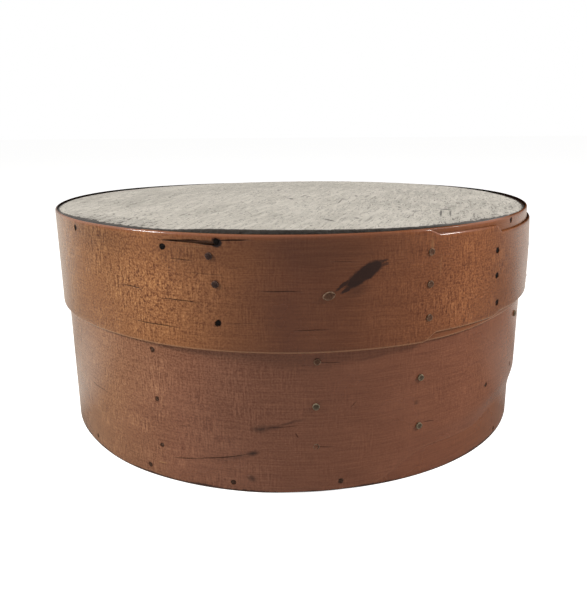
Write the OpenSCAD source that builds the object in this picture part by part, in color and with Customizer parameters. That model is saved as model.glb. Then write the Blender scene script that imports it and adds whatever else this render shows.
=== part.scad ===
// Round bentwood pantry box with a lift-off lid.
// Two thin strips of wood are bent into hoops. The outer end of each strip climbs over its own
// inner end, narrows to a tongue at cut shoulders and is tacked down through the lap. A round
// board is nailed into the bottom of the box and another into the top of the lid.
// Angles are measured round the box from its front, which faces -Y, and grow toward the right.

/* [Box] */
// Outside diameter of the box's band where it is one layer thick
body_d = 248.7; // [180:0.1:320]
// Height of the box's band
body_h = 103.5; // [90:0.5:150]
// Thickness of the box's band
body_t = 1.1; // [0.9:0.05:2]
// Thickness of the bottom board
bottom_t = 8.8; // [6:0.1:12]

/* [Lid] */
// Height of the lid's band
lid_h = 48; // [35:0.5:60]
// Thickness of the lid's band
lid_t = 1.1; // [0.9:0.05:2]
// Thickness of the lid board at its low edges
lid_board_t = 7.7; // [6:0.1:12]
// Rise of the cupped lid board along its middle
crown = 3.1; // [0.5:0.1:4]
// Direction of the lid board's grain, from the right toward the back
grain_turn = 75; // [0:1:180]
// Height of the lid's rim above the low edges of its board
rim_lip = 1.4; // [0:0.1:2]
// Gap between the lid's band and the box's lap inside it
lid_clear = 0.3; // [0.2:0.05:1]

/* [Laps] */
// Gap between the two layers of a lap
lap_gap = 0.15; // [0.1:0.05:0.4]
// Angle over which a band climbs onto its own inner end
ramp_turn = 24; // [16:1:36]
// Angle at which the box's band lies fully on its inner end
body_lap_from = -33; // [-60:1:-31]
// Angle at which the box's tongue ends
body_lap_to = 88; // [86:1:120]
// Angle at which the lid's band lies fully on its inner end
lid_lap_from = -17; // [-50:1:-16]
// Angle at which the lid's tongue ends
lid_lap_to = 94; // [92:1:120]
// Gap between a board and the band round it
board_fit = 0.1; // [0.05:0.05:0.3]

/* [Tongues] */
// Angle at which the lid's shoulders start
lid_shoulder_at = 25.2; // [18:0.1:26]
// Angle at which the lid's tongue steps in once more
lid_step_at = 44.4; // [40:0.1:56]
// Cut of the lid's upper edge at its shoulder
lid_top_in = 2.4; // [1:0.1:4]
// Second cut of the lid's upper edge
lid_top_step_in = 3.2; // [1:0.1:4]
// Cut of the lid's lower edge at its shoulder
lid_low_in = 3.6; // [1:0.1:4]
// Second cut of the lid's lower edge
lid_low_step_in = 1.5; // [1:0.1:4]
// How far the lower edge of the lid's inner end is planed hollow under the tongue
lid_hollow = 3.2; // [0.5:0.1:4]
// Angle at which the box's upper shoulder starts, under the lid
body_shoulder_at = 23; // [18:1:26]
// Cut of the box's upper edge at its shoulder
body_top_in = 4; // [1:0.1:8]
// Angle at which the box's long lower shoulder starts
body_low_at = 14; // [11:1:22]
// Length of the box's long lower shoulder
body_low_run = 34; // [8:1:40]
// Cut of the box's lower edge at its shoulder
body_low_in = 14; // [8:0.1:18]
// Angle at which the box's tongue steps in once more
body_step_at = 45; // [40:1:56]
// Second cut of the box's tongue
body_step_in = 5; // [1:0.1:6]
// Length of every other shoulder along the band
shoulder_run = 8; // [5:0.5:10]
// Length of a tongue's tapered tip
tip_run = 12; // [6:0.5:16]
// How far each edge of the tip tapers in
tip_in = 5; // [1:0.5:6]

/* [Tacks and nails] */
// Diameter of the round tack heads
head_d = 3; // [2.4:0.1:5]
// Height of the round tack heads
head_h = 0.8; // [0.4:0.1:1.2]
// Length of the one large clout's head
clout_l = 5.4; // [4:0.1:8]
// Width of the one large clout's head
clout_w = 3.4; // [2.4:0.1:4]
// Thickness of the one large clout's head
clout_t = 0.6; // [0.3:0.05:1]
// Side of the small square heads that are driven flush
brad_w = 2; // [1.6:0.1:3]
// Thickness of the small square heads
brad_t = 0.5; // [0.3:0.05:0.7]
// Diameter of every shank
shank_d = 1; // [0.8:0.05:1.4]
// How far a nail reaches into its board
nail_bite = 14; // [8:0.5:20]
// Length of the tack points that are bent over inside the box
clinch_l = 2.6; // [1.5:0.1:4]
// Gap round a shank or a flush head in the wood
hole_clear = 0.03; // [0.02:0.01:0.1]

/* [Hidden] */

$fn = 180;
tack_fn = 32;

// Angle between neighbouring points of a bent strip's outline, points along the wave of a
// shoulder, and points over half of the lid board's crown.
facet = 2;
wave_points = 8;
crown_points = 12;

// Radii of the box's band, of the lap on it and of the lid's band round that lap.
body_out = body_d / 2;
body_in = body_out - body_t;
body_rise = body_t + lap_gap;
lid_in = body_out + body_rise + lid_clear;
lid_out = lid_in + lid_t;
lid_rise = lid_t + lap_gap;

// The lid board lies on the box's upper edge, and the lid's band hangs from it.
rim_top = body_h + lid_board_t + rim_lip;
lid_low = rim_top - lid_h;
under_lid = (lid_low + body_h) / 2;

// A band as one record: inner radius, thickness, lower edge, height, where its lap runs, and from
// where its tongue leaves the edges of the inner layer bare.
body = [body_in, body_t, 0, body_h, body_lap_from, body_lap_to, body_low_at];
lid = [lid_in, lid_t, lid_low, lid_h, lid_lap_from, lid_lap_to, lid_shoulder_at];

// The cuts that shape the edges of a tongue: angle where each starts, its length and its depth.
body_tip = [body_lap_to - turn_along(body, tip_run), tip_run, tip_in];
body_step = [body_step_at, shoulder_run, body_step_in];
body_top_cuts = [[body_shoulder_at, shoulder_run, body_top_in], body_step, body_tip];
body_low_cuts = [[body_low_at, body_low_run, body_low_in], body_step, body_tip];
lid_tip = [lid_lap_to - turn_along(lid, tip_run), tip_run, tip_in];
lid_top_step = [lid_step_at, shoulder_run, lid_top_step_in];
lid_low_step = [lid_step_at, shoulder_run, lid_low_step_in];
lid_top_cuts = [[lid_shoulder_at, shoulder_run, lid_top_in], lid_top_step, lid_tip];
lid_low_cuts = [[lid_shoulder_at, shoulder_run, lid_low_in], lid_low_step, lid_tip];

// Angles at which the hollow of the lid's inner end starts, is deepest, leaves that depth and ends.
hollow_turns = [26, 60, 64, 88];

// Tacks were driven by hand, so each has its own angle and height. On the box the height is a
// share of the wall that shows below the lid, on the lid it is the depth below the rim as a share
// of the lid's band. The last value says what kind of head the tack has.
ROUND = "round";
FLUSH = "flush";
body_row_1 = [[-28.4, 0.94, FLUSH], [-28, 0.59, FLUSH], [-27.5, 0.25, FLUSH]];
body_row_2 = [[4.7, 0.93, ROUND], [4.5, 0.625, ROUND], [4.6, 0.34, ROUND]];
body_row_3 = [[26, 0.745, ROUND], [26.1, 0.395, ROUND]];
body_row_4 = [[46.5, 0.52, FLUSH]];
body_row_5 = [[61.9, 0.94, ROUND], [61.4, 0.525, FLUSH]];
body_row_6 = [[84, 0.93, FLUSH], [84, 0.7, FLUSH], [84, 0.48, FLUSH]];
body_rows = [body_row_1, body_row_2, body_row_3, body_row_4, body_row_5, body_row_6];
lid_row_1 = [[-14.5, 0.18, ROUND], [-13.5, 0.415, ROUND], [-13.2, 0.745, FLUSH]];
lid_row_2 = [[26.3, 0.195, ROUND], [26.4, 0.475, ROUND], [26.5, 0.775, ROUND]];
lid_row_3 = [[45.1, 0.285, FLUSH], [45.4, 0.525, FLUSH], [46.2, 0.795, FLUSH]];
lid_row_4 = [[67.7, 0.385, ROUND], [70, 0.755, ROUND]];
lid_row_5 = [[90, 0.3, FLUSH], [90, 0.53, FLUSH], [90, 0.75, FLUSH]];
lid_rows = [lid_row_1, lid_row_2, lid_row_3, lid_row_4, lid_row_5];

// The large clout sits alone between two rows, its long head turned up toward the right.
clout_at = [6.6, 0.505];
clout_turn = 14;

// Nails into the boards: angle, and height as a share of the board's thickness. Those that show
// are placed one by one, and the rest follow round the back at an even spacing.
bottom_front = [[-51, 0.48], [-30.9, 0.5], [-11.8, 0.48], [9.5, 0.56], [55, 0.36]];
bottom_back_from = 76;
bottom_back_step = 20.5;
lid_front = [[-50, 0.72], [-23.7, 0.39], [-13.1, 0.82], [52, 0.9], [80, 0.77]];
lid_back_from = 106;
lid_back_step = 26;
back_to = 290;
bottom_back = [for (a = [bottom_back_from : bottom_back_step : back_to]) [a, 0.5]];
lid_back = [for (a = [lid_back_from : lid_back_step : back_to]) [a, 0.5]];

wood = "#8a5a3c";
weathered = "#cbc4b8";
iron = "#55504e";

// Unit vector from the axis toward an angle on the box.
function toward(a) = [sin(a), -cos(a)];

// A strip is followed from its inner end, once round and on over itself to the end of its tongue,
// so its angle grows past 360. One turn after the inner end it climbs over it in an even wave.
function wave(share) = (1 - cos(180 * min(max(share, 0), 1))) / 2;
function climb(band, a) =
    (band[1] + lap_gap) * wave((a - 360 - band[4] + ramp_turn) / ramp_turn);

// The inner end is skived to fill the room under the climb.
function thickness(band, a) = min(band[1], climb(band, a + 360) - lap_gap);

// Outside radius of a tongue, and the angle that a length along it takes up.
function tongue_out(band) = band[0] + 2 * band[1] + lap_gap;
function turn_along(band, long) = 180 * long / (PI * tongue_out(band));

// How far the cuts have taken back a tongue's edge at an angle.
function cut_back(band, cuts, a) =
    [for (c = cuts) c[2]] * [for (c = cuts) wave((a - c[0]) / turn_along(band, c[1]))];

// How far the hollow has taken back the lower edge of the inner end at an angle.
function hollow_back(deep, a) =
    deep * wave((a - hollow_turns[0]) / (hollow_turns[1] - hollow_turns[0]))
        * (1 - wave((a - hollow_turns[2]) / (hollow_turns[3] - hollow_turns[2])));

// Outside radius of a band along its lap, and along its edges, where the tongue leaves the inner
// layer bare.
function lap_out(band, a) = band[0] + band[1] + (a > band[5] ? 0 : climb(band, a + 360));
function edge_out(band, a) = lap_out(band, a > band[6] ? 360 : a);

// Heights of the tacks.
function body_z(share) = share * lid_low;
function lid_z(share) = rim_top - share * lid_h;

// Turns a child that points along +X outward at an angle, a radius and a height.
module placed(a, r, z) {
    translate([r * toward(a)[0], r * toward(a)[1], z])
        rotate([0, 0, a - 90])
            children();
}

// The strip seen from above, a ribbon that laps over its own inner end.
module ribbon(band) {
    from = band[4] - ramp_turn / 2;
    to = band[5] + 360;
    turns = concat([for (a = [from : facet : to - facet / 2]) a], [to]);
    inner = [for (a = turns) (band[0] + climb(band, a)) * toward(a)];
    outer = [for (a = turns) (band[0] + climb(band, a) + thickness(band, a)) * toward(a)];
    last = len(turns) - 1;
    polygon(concat(inner, [for (k = [last : -1 : 0]) outer[k]]));
}

// What is cut away above the upper edge of a tongue, as seen from outside the middle of the tongue.
// The edge drops in even waves, one for each cut.
module edge_trim(band, cuts, facing) {
    r = tongue_out(band);
    z = band[3];
    turns = [for (c = cuts, n = [0 : wave_points]) c[0] + turn_along(band, c[1]) * n / wave_points];
    edge = [for (a = turns) [r * sin(a - facing), z - cut_back(band, cuts, a)]];
    polygon(concat(edge, [[r, edge[len(edge) - 1][1]], [r, 2 * z], [edge[0][0], 2 * z]]));
}

// What the tongue's outline leaves bare of a lap's outer layer, down to the gap between the layers.
module tongue_trim(band, top_cuts, low_cuts) {
    facing = (band[6] + band[5]) / 2;
    difference() {
        rotate([90, 0, facing])
            linear_extrude(2 * tongue_out(band)) {
                edge_trim(band, top_cuts, facing);
                translate([0, band[3]])
                    mirror([0, 1])
                        edge_trim(band, low_cuts, facing);
            }
        cylinder(r = band[0] + band[1] + lap_gap / 2, h = 4 * band[3], center = true);
    }
}

// What is planed off the lower edge of the inner end, below the tongue.
module hollow_trim(band, deep) {
    r = band[0] + band[1];
    facing = (hollow_turns[0] + hollow_turns[3]) / 2;
    turns = [for (a = [hollow_turns[0] : facet : hollow_turns[3]]) a];
    edge = [for (a = turns) [r * sin(a - facing), hollow_back(deep, a)]];
    rotate([90, 0, facing])
        linear_extrude(2 * r)
            polygon(concat(edge, [[r, -deep], [-r, -deep]]));
}

// A whole bent strip with its tongue.
module bent_strip(band, top_cuts, low_cuts, hollow = 0) {
    translate([0, 0, band[2]])
        difference() {
            linear_extrude(band[3])
                ribbon(band);
            tongue_trim(band, top_cuts, low_cuts);
            if (hollow > 0)
                hollow_trim(band, hollow);
        }
}

// A shank that points inward from a surface, with a short cone at its end.
module shank(long, clear = 0) {
    tip = shank_d;
    rotate([0, -90, 0])
        cylinder(d = shank_d + 2 * clear, h = long - tip + clear, $fn = tack_fn);
    translate([tip - long - clear, 0, 0])
        rotate([0, -90, 0])
            cylinder(d1 = shank_d + 2 * clear, d2 = shank_d / 4, h = tip, $fn = tack_fn);
}

// A shank that is filed off flush on the far side.
module cut_shank(long, clear = 0) {
    rotate([0, -90, 0])
        cylinder(d = shank_d + 2 * clear, h = long, $fn = tack_fn);
}

// Small square head driven flush with the wood.
module flush_head(clear = 0) {
    side = brad_w + 2 * clear;
    translate([-brad_t - clear, -side / 2, -side / 2])
        cube([brad_t + clear, side, side]);
}

// Low domed head lying on the wood.
module round_head() {
    r = (pow(head_d / 2, 2) + head_h * head_h) / (2 * head_h);
    rotate([0, 90, 0])
        rotate_extrude($fn = tack_fn)
            intersection() {
                translate([0, head_h - r])
                    circle(r, $fn = tack_fn);
                square([head_d, head_h]);
            }
}

// Long head of the large clout, hammered flat.
module clout_head() {
    straight = clout_l - clout_w;
    rotate([clout_turn, 0, 0])
        rotate([90, 0, 90])
            linear_extrude(clout_t) {
                square([straight, clout_w], center = true);
                for (side = [-1, 1])
                    translate([side * straight / 2, 0])
                        circle(d = clout_w, $fn = tack_fn);
            }
}

// Tack point that comes out inside the box and is bent over upward against the wood.
module clinch(long) {
    point_d = 0.8 * shank_d;
    bend = long + hole_clear + point_d / 2;
    cut_shank(bend);
    translate([-bend, 0, -shank_d / 3])
        cylinder(d1 = point_d, d2 = point_d / 2, h = clinch_l, $fn = tack_fn);
}

// One tack through both layers of a lap. On the box its point is bent over inside.
module lap_tack(band, a, z, head, bent) {
    out = lap_out(band, a);
    long = out - band[0];
    placed(a, out, z) {
        if (head == ROUND)
            round_head();
        else
            flush_head();
        if (bent)
            clinch(long);
        else
            cut_shank(long);
    }
}

// The hole that such a tack fills.
module lap_hole(band, a, z, head) {
    out = lap_out(band, a);
    placed(a, out, z) {
        if (head == FLUSH)
            translate([hole_clear, 0, 0])
                flush_head(hole_clear);
        translate([band[1], 0, 0])
            cut_shank(out - band[0] + 2 * band[1], hole_clear);
    }
}

// A nail through a band into the edge of a board, and its hole in both.
module board_nail(band, a, z) {
    out = edge_out(band, a);
    placed(a, out, z) {
        flush_head();
        shank(out - band[0] + nail_bite);
    }
}
module nail_hole(band, a, z) {
    out = edge_out(band, a);
    placed(a, out, z) {
        translate([hole_clear, 0, 0])
            flush_head(hole_clear);
        shank(out - band[0] + nail_bite, hole_clear);
    }
}
module bottom_nail_holes() {
    for (n = concat(bottom_front, bottom_back))
        nail_hole(body, n[0], n[1] * bottom_t);
}
module lid_nail_holes() {
    for (n = concat(lid_front, lid_back))
        nail_hole(lid, n[0], body_h + n[1] * lid_board_t);
}

// A row of tacks on the box, with one more flush tack above them where the lid covers the lap.
module body_row(row) {
    for (t = row)
        lap_tack(body, t[0], body_z(t[1]), t[2], true);
    lap_tack(body, row[0][0], under_lid, FLUSH, true);
}
module body_row_holes(row) {
    for (t = row)
        lap_hole(body, t[0], body_z(t[1]), t[2]);
    lap_hole(body, row[0][0], under_lid, FLUSH);
}

// A row of tacks on the lid, filed off inside so that the lid slides over the box.
module lid_row(row) {
    for (t = row)
        lap_tack(lid, t[0], lid_z(t[1]), t[2], false);
}

// Bent side of the box.
module body_band() {
    color(wood)
        difference() {
            bent_strip(body, body_top_cuts, body_low_cuts);
            bottom_nail_holes();
            for (row = body_rows)
                body_row_holes(row);
        }
}

// Round board nailed into the bottom of the box, flush with the band's lower edge.
module bottom_board() {
    color(weathered)
        difference() {
            cylinder(r = body_in - board_fit, h = bottom_t);
            bottom_nail_holes();
        }
}

module bottom_nails() {
    color(iron)
        for (n = concat(bottom_front, bottom_back))
            board_nail(body, n[0], n[1] * bottom_t);
}

module body_lap_tacks_1() {
    color(iron)
        body_row(body_row_1);
}

module body_lap_tacks_2() {
    color(iron)
        body_row(body_row_2);
}

module body_lap_tacks_3() {
    color(iron)
        body_row(body_row_3);
}

module body_lap_tacks_4() {
    color(iron)
        body_row(body_row_4);
}

module body_lap_tacks_5() {
    color(iron)
        body_row(body_row_5);
}

module body_lap_tacks_6() {
    color(iron)
        body_row(body_row_6);
}

// Bent rim of the lid.
module lid_band() {
    color(wood)
        difference() {
            bent_strip(lid, lid_top_cuts, lid_low_cuts, lid_hollow);
            lid_nail_holes();
            for (row = lid_rows, t = row)
                lap_hole(lid, t[0], lid_z(t[1]), t[2]);
            lap_hole(lid, clout_at[0], lid_z(clout_at[1]), ROUND);
        }
}

// Round lid board. It has cupped across the grain, so its top stands proud along the middle.
module lid_board() {
    r = lid_in - board_fit;
    cupped = [for (n = [-crown_points : crown_points]) n / crown_points];
    top = [for (x = cupped) [x * r, lid_board_t + crown * (1 - x * x)]];
    color(weathered)
        difference() {
            translate([0, 0, body_h])
                intersection() {
                    cylinder(r = r, h = lid_board_t + 2 * crown);
                    rotate([90, 0, grain_turn + 90])
                        linear_extrude(4 * r, center = true)
                            polygon(concat(top, [[2 * r, lid_board_t], [2 * r, 0], [-2 * r, 0],
                                [-2 * r, lid_board_t]]));
                }
            lid_nail_holes();
        }
}

module lid_board_nails() {
    color(iron)
        for (n = concat(lid_front, lid_back))
            board_nail(lid, n[0], body_h + n[1] * lid_board_t);
}

module lid_lap_tacks_1() {
    color(iron)
        lid_row(lid_row_1);
}

// One large clout with a long flattened head.
module lid_clout() {
    out = lap_out(lid, clout_at[0]);
    color(iron)
        placed(clout_at[0], out, lid_z(clout_at[1])) {
            clout_head();
            cut_shank(out - lid_in);
        }
}

module lid_lap_tacks_2() {
    color(iron)
        lid_row(lid_row_2);
}

module lid_lap_tacks_3() {
    color(iron)
        lid_row(lid_row_3);
}

module lid_lap_tacks_4() {
    color(iron)
        lid_row(lid_row_4);
}

module lid_lap_tacks_5() {
    color(iron)
        lid_row(lid_row_5);
}

body_band();
bottom_board();
bottom_nails();
body_lap_tacks_1();
body_lap_tacks_2();
body_lap_tacks_3();
body_lap_tacks_4();
body_lap_tacks_5();
body_lap_tacks_6();
lid_band();
lid_board();
lid_board_nails();
lid_lap_tacks_1();
lid_clout();
lid_lap_tacks_2();
lid_lap_tacks_3();
lid_lap_tacks_4();
lid_lap_tacks_5();
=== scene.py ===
import math
import random

import bpy
import numpy as np
from mathutils import Matrix, Vector


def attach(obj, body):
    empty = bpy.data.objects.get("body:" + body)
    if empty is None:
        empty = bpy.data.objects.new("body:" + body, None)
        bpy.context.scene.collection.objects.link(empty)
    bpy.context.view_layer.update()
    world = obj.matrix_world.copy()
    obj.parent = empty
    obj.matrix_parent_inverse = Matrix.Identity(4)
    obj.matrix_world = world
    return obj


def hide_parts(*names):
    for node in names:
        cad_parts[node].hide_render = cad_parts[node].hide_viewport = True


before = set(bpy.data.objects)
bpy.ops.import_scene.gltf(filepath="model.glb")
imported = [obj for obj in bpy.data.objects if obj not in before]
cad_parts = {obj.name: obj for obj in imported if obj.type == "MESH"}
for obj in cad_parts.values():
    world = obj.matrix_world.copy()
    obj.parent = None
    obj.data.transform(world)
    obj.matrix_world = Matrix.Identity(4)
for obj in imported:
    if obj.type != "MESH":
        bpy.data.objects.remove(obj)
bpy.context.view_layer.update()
MM = 0.001


# Box's band
# The side of the box is one thin strip of maple, steamed and bent into a hoop. Its outer end climbs
# over its own skived inner end, narrows to a tongue at two cut shoulders and is tacked down there.

# Lengths are millimetres. Turns are degrees along the strip, whose second round passes the front at
# 360. A cut of the tongue is its angle from the front, its length and its depth. The tongue's end
# springs off, the strip's first end is planed hollow, a lower edge is feathered by a share of its
# thickness, and the strip flares out from one turn on, below a share of its height.
box_band = {
    "inner": 123.25, "thick": 1.1, "low": 0.0, "tall": 103.5, "lap": 125.6,
    "lap_from": -33, "lap_to": 88,
    "top_cuts": [(23, 8, 4), (45, 8, 5), (82.5, 12, 5)],
    "low_cuts": [(-8, 25, 0.5), (14, 34, 13.5), (40, 30, 5), (82.5, 12, 5)],
    "spring": 0.2, "hollow": 0, "feather": 0.85, "flare": 0.9, "flare_from": 380, "flare_up": 1,
}
lap_gap = 0.15
ramp_turn = 24
front = 360
spring_from = 45


def wave(share):
    return (1 - np.cos(np.pi * np.clip(share, 0, 1))) / 2


def climb(band, turn):
    share = (turn - front - band["lap_from"] + ramp_turn) / ramp_turn
    sprung = band["spring"] * wave((turn - front - spring_from) / (band["lap_to"] - spring_from))
    return (band["thick"] + lap_gap) * wave(share) + sprung


def layer(band, turn):
    return np.minimum(band["thick"], climb(band, turn + 360) - lap_gap)


def cut_depth(band, turn, cuts):
    along = np.radians(turn - front) * band["lap"]
    return sum(deep * wave((along - math.radians(start) * band["lap"]) / long)
               for start, long, deep in cuts)


# Lower and upper edge of the flat strip. Its first end, under the tongue, is planed a little
# hollow, and the hollow runs in and out over some degrees.
hollow_from, hollow_in = 26, 34
hollow_to, hollow_out = 64, 24


def strip_edges(band, turn):
    hollow = wave((turn - hollow_from) / hollow_in) * (1 - wave((turn - hollow_to) / hollow_out))
    bottom = cut_depth(band, turn, band["low_cuts"]) + band["hollow"] * hollow
    return bottom, band["tall"] - cut_depth(band, turn, band["top_cuts"])


# Radius of the strip's inner face, from its turn and its height on the strip. On the right the
# tongue presses out of round, and takes the lid's hoop with it toward its lower edge.
flare_start, flare_in = 20, 40
flare_end, flare_out = 95, 45
flare_fade = 0.6
feather_high = 10


def inner_face(band, turn, up):
    angle = turn % 360
    pressed = wave((angle - flare_start) / flare_in) * (1 - wave((angle - flare_end) / flare_out))
    pressed = pressed * (turn >= band["flare_from"])
    pressed = pressed * (1 - wave((up / band["tall"] - band["flare_up"]) / flare_fade))
    if band["feather"]:
        pressed = pressed * wave((up - strip_edges(band, turn)[0]) / feather_high)
    return band["inner"] + climb(band, turn) + band["flare"] * pressed


# Turns at which the strip has a column of points, closer together where its edges are cut.
wide_step, close_step = 1.0, 0.25


def strip_turns(band, fine):
    first, last = band["lap_from"] - ramp_turn / 2, band["lap_to"] + 360.0
    turns = set(np.arange(first, last, wide_step).round(3))
    for start, end in fine:
        turns |= set(np.arange(start, end, close_step).round(3))
    return np.array(sorted(turns) + [last])


def pick(*pieces):
    bpy.ops.object.select_all(action="DESELECT")
    for piece in pieces:
        piece.select_set(True)
    bpy.context.view_layer.objects.active = pieces[0]


def points(piece):
    places = np.zeros(len(piece.data.vertices) * 3)
    piece.data.vertices.foreach_get("co", places)
    return places.reshape(-1, 3)


# Lays the strip flat with its outer face up, cut to the outline of its tongue.
def flat_strip(name, band, turns, rows):
    bpy.ops.object.select_all(action="DESELECT")
    bpy.ops.mesh.primitive_grid_add(
        x_subdivisions=len(turns) - 1, y_subdivisions=len(rows) - 1, size=2)
    strip = bpy.context.object
    strip.name = name
    place = points(strip)
    column = ((place[:, 0] + 1) / 2 * (len(turns) - 1)).round().astype(int)
    row = ((place[:, 1] + 1) / 2 * (len(rows) - 1)).round().astype(int)
    turn = turns[column]
    bottom, top = strip_edges(band, turn)
    place[:, 0] = np.radians(turn) * band["lap"]
    place[:, 1] = bottom + (top - bottom) * np.array(rows)[row]
    strip.data.vertices.foreach_set("co", (place * MM).ravel())
    strip.data.update()
    return strip, column, row


# Gives the flat strip its thickness. Its outer long edges are rubbed round, and its inner edges and
# its ends only a little, each by a share of the full rounding.
end_share, side_share, inner_share = 0.4, 1.0, 0.3


def plane_strip(strip, band, column, row, worn):
    count = len(strip.data.vertices)
    bpy.ops.object.modifier_add(type="SOLIDIFY")
    strip.modifiers[-1].thickness = band["thick"] * MM
    strip.modifiers[-1].offset = 1
    bpy.ops.object.modifier_apply(modifier=strip.modifiers[-1].name)
    outer = points(strip)[:, 2] > band["thick"] / 2 * MM
    ends = np.zeros(len(strip.data.edges) * 2, int)
    strip.data.edges.foreach_get("vertices", ends)
    one, two = ends.reshape(-1, 2).T
    same_face = outer[one] == outer[two]
    weight = np.zeros(len(one))
    for index, share in ((column, end_share), (row, side_share)):
        for side in (0, index.max()):
            outline = same_face & (index[one % count] == side) & (index[two % count] == side)
            weight[outline] = np.where(outer[one], share, inner_share)[outline]
    rounding = strip.data.attributes.new("bevel_weight_edge", "FLOAT", "EDGE")
    rounding.data.foreach_set("value", weight)
    bpy.ops.object.modifier_add(type="BEVEL")
    strip.modifiers[-1].limit_method = "WEIGHT"
    strip.modifiers[-1].width = worn * MM
    strip.modifiers[-1].segments = 4
    strip.modifiers[-1].use_clamp_overlap = False
    bpy.ops.object.modifier_apply(modifier=strip.modifiers[-1].name)


# Cuts the small ragged pits that sunk nail heads lie in: turn, height and width of each.
chance = random.Random(5)
pit_deep = 0.55
pit_corners = 9
pit_least, pit_most = 0.85, 1.25


def cut_pits(strip, band, pits):
    cutters = []
    for turn, height, wide in pits:
        bpy.ops.object.select_all(action="DESELECT")
        bpy.ops.mesh.primitive_cylinder_add(
            vertices=pit_corners, radius=wide / 2 * MM, depth=2 * pit_deep * MM)
        cutter = bpy.context.object
        ragged = [chance.uniform(pit_least, pit_most) for corner in range(pit_corners)]
        for number, vertex in enumerate(cutter.data.vertices):
            vertex.co.xy *= ragged[number // 2]
        spot = (math.radians(turn) * band["lap"], height - band["low"], band["thick"])
        cutter.data.transform(Matrix.Translation([v * MM for v in spot]))
        cutters.append(cutter)
    pick(*cutters)
    bpy.ops.object.join()
    cutter = bpy.context.object
    pick(strip)
    bpy.ops.object.modifier_add(type="BOOLEAN")
    strip.modifiers[-1].object = cutter
    strip.modifiers[-1].solver = "EXACT"
    bpy.ops.object.modifier_apply(modifier=strip.modifiers[-1].name)
    bpy.data.objects.remove(cutter)


# Bends the strip round the box, with the lower edge of its tongue planed thin where it is
# feathered. Attributes stay with it: its place on the flat strip from the front, in millimetres,
# which the grain follows, the distances from its upper and lower edge, and the depth in the strip,
# from 0 on its inner face to 1 on its outer one.
feather_from, feather_in = 362, 14
smooth_angle = math.radians(40)


def bend_strip(strip, band):
    flat = points(strip) / MM
    turn = np.degrees(flat[:, 0] / band["lap"])
    bottom, top = strip_edges(band, turn)
    thinned = band["feather"] * wave((turn - feather_from) / feather_in)
    thinned = thinned * (1 - wave((flat[:, 1] - bottom) / feather_high))
    depth = flat[:, 2] * layer(band, turn) / band["thick"] * (1 - thinned)
    radius = inner_face(band, turn, flat[:, 1]) + depth
    angle = np.radians(turn)
    bent = np.stack(
        [radius * np.sin(angle), -radius * np.cos(angle), band["low"] + flat[:, 1]], 1)
    strip.data.vertices.foreach_set("co", (bent * MM).ravel())
    along = np.radians(turn - front) * band["lap"]
    spread = strip.data.attributes.new("strip", "FLOAT_VECTOR", "POINT")
    spread.data.foreach_set("vector", np.stack([along, bent[:, 2], 0 * along], 1).ravel())
    for name, values in (("from_top", top - flat[:, 1]), ("from_foot", flat[:, 1] - bottom),
                         ("depth", flat[:, 2] / band["thick"])):
        kept = strip.data.attributes.new(name, "FLOAT", "POINT")
        kept.data.foreach_set("value", values)
    strip.data.update()
    pick(strip)
    bpy.ops.object.shade_smooth_by_angle(angle=smooth_angle)


# Tacks of each row, and nails: angle from the front, height and how the head lies.
box_tacks = [
    [(-28.4, 60.7, "sunk"), (-28, 38.1, "sunk"), (-27.5, 16.2, "sunk")],
    [(4.7, 60.1, "flat"), (4.5, 40.4, "round"), (4.6, 22, "flush")],
    [(26, 48.1, "round"), (26.1, 25.5, "round")],
    [(46.5, 33.6, "sunk")],
    [(61.9, 60.7, "round"), (61.4, 33.9, "sunk")],
    [(84, 60.1, "sunk"), (84, 45.2, "sunk"), (84, 31, "sunk")],
]
covered_height = 84.05
for row in box_tacks:
    row.append((row[0][0], covered_height, "sunk"))
bottom_nails = [(-51, 4.2), (-30.9, 4.4), (-11.8, 4.2), (9.5, 4.9), (55, 3.2)]
bottom_nails += [(76 + 20.5 * n, 4.4) for n in range(11)]
box_pit = 2.3
box_single_from = 20


# Nails right of an angle go through the strip's first round, and the others through its second.
def nail_turn(angle, single_from):
    return angle if angle > single_from else angle + 360


turns = strip_turns(box_band, [(382, 389), (404, 411), (440, 448)])
side, column, row = flat_strip("box_side", box_band, turns, np.linspace(0, 1, 27))
side_worn = 0.5
plane_strip(side, box_band, column, row, side_worn)
pits = [(a + 360, z, box_pit) for tacks in box_tacks for a, z, head in tacks if head == "sunk"]
pits += [(nail_turn(a, box_single_from), z, box_pit) for a, z in bottom_nails]
cut_pits(side, box_band, pits)
bend_strip(side, box_band)


def linear(shade):
    parts = [int(shade[n:n + 2], 16) / 255 for n in (1, 3, 5)]
    return [p / 12.92 if p < 0.04045 else ((p + 0.055) / 1.055) ** 2.4 for p in parts] + [1]


def bare_finish(name):
    finish = bpy.data.materials.new(name)
    finish.use_nodes = True
    finish.node_tree.nodes.clear()
    return finish


# Adds one node to a material, with its settings, the stops of its ramp and its links or values.
def put(finish, kind, links=(), stops=(), **settings):
    node = finish.node_tree.nodes.new("ShaderNode" + kind)
    for name, value in settings.items():
        setattr(node, name, value)
    if stops:
        ramp = node.color_ramp.elements
        ramp.remove(ramp[1])
        ramp[0].position, ramp[0].color = stops[0][0], linear(stops[0][1])
        for place, shade in stops[1:]:
            ramp.new(place).color = linear(shade)
    for name, value in dict(links).items():
        socket = node.inputs[name]
        if isinstance(value, bpy.types.Node):
            value = value.outputs[0]
        if isinstance(value, bpy.types.NodeSocket):
            finish.node_tree.links.new(value, socket)
        else:
            socket.default_value = value
    return node


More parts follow.
